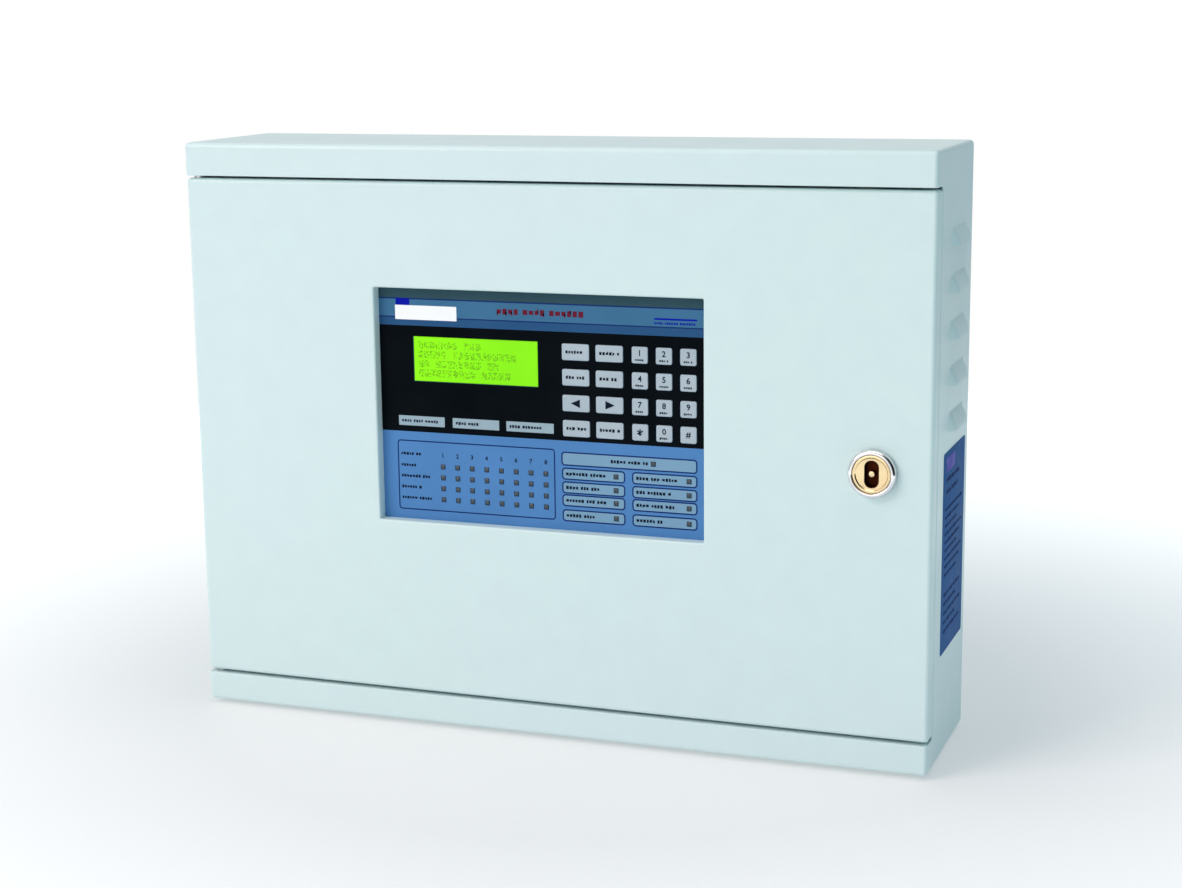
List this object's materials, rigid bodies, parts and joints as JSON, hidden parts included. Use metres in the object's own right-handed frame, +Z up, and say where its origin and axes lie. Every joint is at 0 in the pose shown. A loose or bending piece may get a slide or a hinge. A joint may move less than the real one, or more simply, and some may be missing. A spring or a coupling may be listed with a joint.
{
  "type": "fire alarm control panel",
  "caption": "Wall-hung fire alarm control panel: folded steel box with louvred sides, hinged door with a recessed membrane panel, quarter-turn lock.",
  "frame": {"origin": "centre of the box's back face, on the wall", "axes": "+X to the right seen from the front, +Y into the wall, +Z up"},
  "size_m": [0.448, 0.104, 0.338],
  "materials": {
    "painted_steel": "pale blue-grey powder coat",
    "zinc_plated_steel": "zinc plate",
    "chrome": "bright chrome",
    "brass": "pale polished brass",
    "printed_film": "printed membrane, semi-gloss",
    "display_glass": "backlit yellow-green display",
    "key_plastic": "light grey, satin",
    "legend_card": "white card under film",
    "light_pipe": "smoked clear plastic",
    "printed_label": "printed vinyl",
    "circuit_board": "green solder mask",
    "black_plastic": "black moulding",
    "rubber": "black rubber",
    "green_plastic": "green moulding",
    "blue_plastic": "blue moulding",
    "grey_plastic": "light grey moulding",
    "ribbon": "grey flat cable",
    "red_wire": "red insulation"
  },
  "bodies": {
    "enclosure": {"enclosure_body": "painted_steel", "lock_strike": "zinc_plated_steel", "chassis_plate": "zinc_plated_steel", "battery_strap": "zinc_plated_steel", "earth_stud": "brass", "side_label": "printed_label", "main_circuit_board": "circuit_board", "processor": "black_plastic", "ribbon_socket": "black_plastic", "battery_left": "black_plastic", "battery_right": "black_plastic", "mains_terminals": "black_plastic", "mains_fuse_holder": "black_plastic", "cable_grommet_left": "rubber", "cable_grommet_right": "rubber", "detector_terminals": "green_plastic", "output_terminals": "green_plastic", "relay_bank": "blue_plastic", "power_supply": "grey_plastic", "display_ribbon_cable": "ribbon", "battery_link_wire": "red_wire"},
    "door": {"door_panel": "painted_steel", "overlay_film": "printed_film", "display_plate": "zinc_plated_steel", "legend_card": "legend_card", "lcd_glass": "display_glass", "lcd_module": "black_plastic", "zone_light_pipe": "light_pipe", "status_light_pipe": "light_pipe", "display_circuit_board": "circuit_board", "sounder": "black_plastic", "hinge_pin_top": "zinc_plated_steel", "hinge_pin_bottom": "zinc_plated_steel", "lock_housing": "chrome", "lock_nut": "zinc_plated_steel"},
    "lock": {"lock_plug": "brass", "lock_cam": "zinc_plated_steel", "cam_screw": "zinc_plated_steel"},
    "key_menu": {"key_menu": "key_plastic"},
    "key_back": {"key_back": "key_plastic"},
    "key_enter": {"key_enter": "key_plastic"},
    "key_help": {"key_help": "key_plastic"},
    "key_left": {"key_left": "key_plastic"},
    "key_right": {"key_right": "key_plastic"},
    "key_silence": {"key_silence": "key_plastic"},
    "key_reset": {"key_reset": "key_plastic"},
    "key_1": {"key_1": "key_plastic"},
    "key_2": {"key_2": "key_plastic"},
    "key_3": {"key_3": "key_plastic"},
    "key_4": {"key_4": "key_plastic"},
    "key_5": {"key_5": "key_plastic"},
    "key_6": {"key_6": "key_plastic"},
    "key_7": {"key_7": "key_plastic"},
    "key_8": {"key_8": "key_plastic"},
    "key_9": {"key_9": "key_plastic"},
    "key_star": {"key_star": "key_plastic"},
    "key_0": {"key_0": "key_plastic"},
    "key_hash": {"key_hash": "key_plastic"}
  },
  "joints": [
    {"name": "door_hinge", "type": "hinge", "parent": "enclosure", "child": "door", "pos_m": [-0.214, -0.093, 0], "axis": [0, 0, -1], "range_deg": [0, 95], "deforming": ["display_ribbon_cable"]},
    {"name": "lock_turn", "type": "hinge", "parent": "door", "child": "lock", "pos_m": [0.188, -0.099, -0.002], "axis": [0, 1, 0], "range_deg": [0, 90]},
    {"name": "key_menu_press", "type": "slide", "parent": "door", "child": "key_menu", "axis": [0, 1, 0], "range_m": [0, 0.0005], "stiffness_N_per_m": 2000},
    {"name": "key_back_press", "type": "slide", "parent": "door", "child": "key_back", "axis": [0, 1, 0], "range_m": [0, 0.0005], "stiffness_N_per_m": 2000},
    {"name": "key_enter_press", "type": "slide", "parent": "door", "child": "key_enter", "axis": [0, 1, 0], "range_m": [0, 0.0005], "stiffness_N_per_m": 2000},
    {"name": "key_help_press", "type": "slide", "parent": "door", "child": "key_help", "axis": [0, 1, 0], "range_m": [0, 0.0005], "stiffness_N_per_m": 2000},
    {"name": "key_left_press", "type": "slide", "parent": "door", "child": "key_left", "axis": [0, 1, 0], "range_m": [0, 0.0005], "stiffness_N_per_m": 2000},
    {"name": "key_right_press", "type": "slide", "parent": "door", "child": "key_right", "axis": [0, 1, 0], "range_m": [0, 0.0005], "stiffness_N_per_m": 2000},
    {"name": "key_silence_press", "type": "slide", "parent": "door", "child": "key_silence", "axis": [0, 1, 0], "range_m": [0, 0.0005], "stiffness_N_per_m": 2000},
    {"name": "key_reset_press", "type": "slide", "parent": "door", "child": "key_reset", "axis": [0, 1, 0], "range_m": [0, 0.0005], "stiffness_N_per_m": 2000},
    {"name": "key_1_press", "type": "slide", "parent": "door", "child": "key_1", "axis": [0, 1, 0], "range_m": [0, 0.0005], "stiffness_N_per_m": 2000},
    {"name": "key_2_press", "type": "slide", "parent": "door", "child": "key_2", "axis": [0, 1, 0], "range_m": [0, 0.0005], "stiffness_N_per_m": 2000},
    {"name": "key_3_press", "type": "slide", "parent": "door", "child": "key_3", "axis": [0, 1, 0], "range_m": [0, 0.0005], "stiffness_N_per_m": 2000},
    {"name": "key_4_press", "type": "slide", "parent": "door", "child": "key_4", "axis": [0, 1, 0], "range_m": [0, 0.0005], "stiffness_N_per_m": 2000},
    {"name": "key_5_press", "type": "slide", "parent": "door", "child": "key_5", "axis": [0, 1, 0], "range_m": [0, 0.0005], "stiffness_N_per_m": 2000},
    {"name": "key_6_press", "type": "slide", "parent": "door", "child": "key_6", "axis": [0, 1, 0], "range_m": [0, 0.0005], "stiffness_N_per_m": 2000},
    {"name": "key_7_press", "type": "slide", "parent": "door", "child": "key_7", "axis": [0, 1, 0], "range_m": [0, 0.0005], "stiffness_N_per_m": 2000},
    {"name": "key_8_press", "type": "slide", "parent": "door", "child": "key_8", "axis": [0, 1, 0], "range_m": [0, 0.0005], "stiffness_N_per_m": 2000},
    {"name": "key_9_press", "type": "slide", "parent": "door", "child": "key_9", "axis": [0, 1, 0], "range_m": [0, 0.0005], "stiffness_N_per_m": 2000},
    {"name": "key_star_press", "type": "slide", "parent": "door", "child": "key_star", "axis": [0, 1, 0], "range_m": [0, 0.0005], "stiffness_N_per_m": 2000},
    {"name": "key_0_press", "type": "slide", "parent": "door", "child": "key_0", "axis": [0, 1, 0], "range_m": [0, 0.0005], "stiffness_N_per_m": 2000},
    {"name": "key_hash_press", "type": "slide", "parent": "door", "child": "key_hash", "axis": [0, 1, 0], "range_m": [0, 0.0005], "stiffness_N_per_m": 2000}
  ]
}
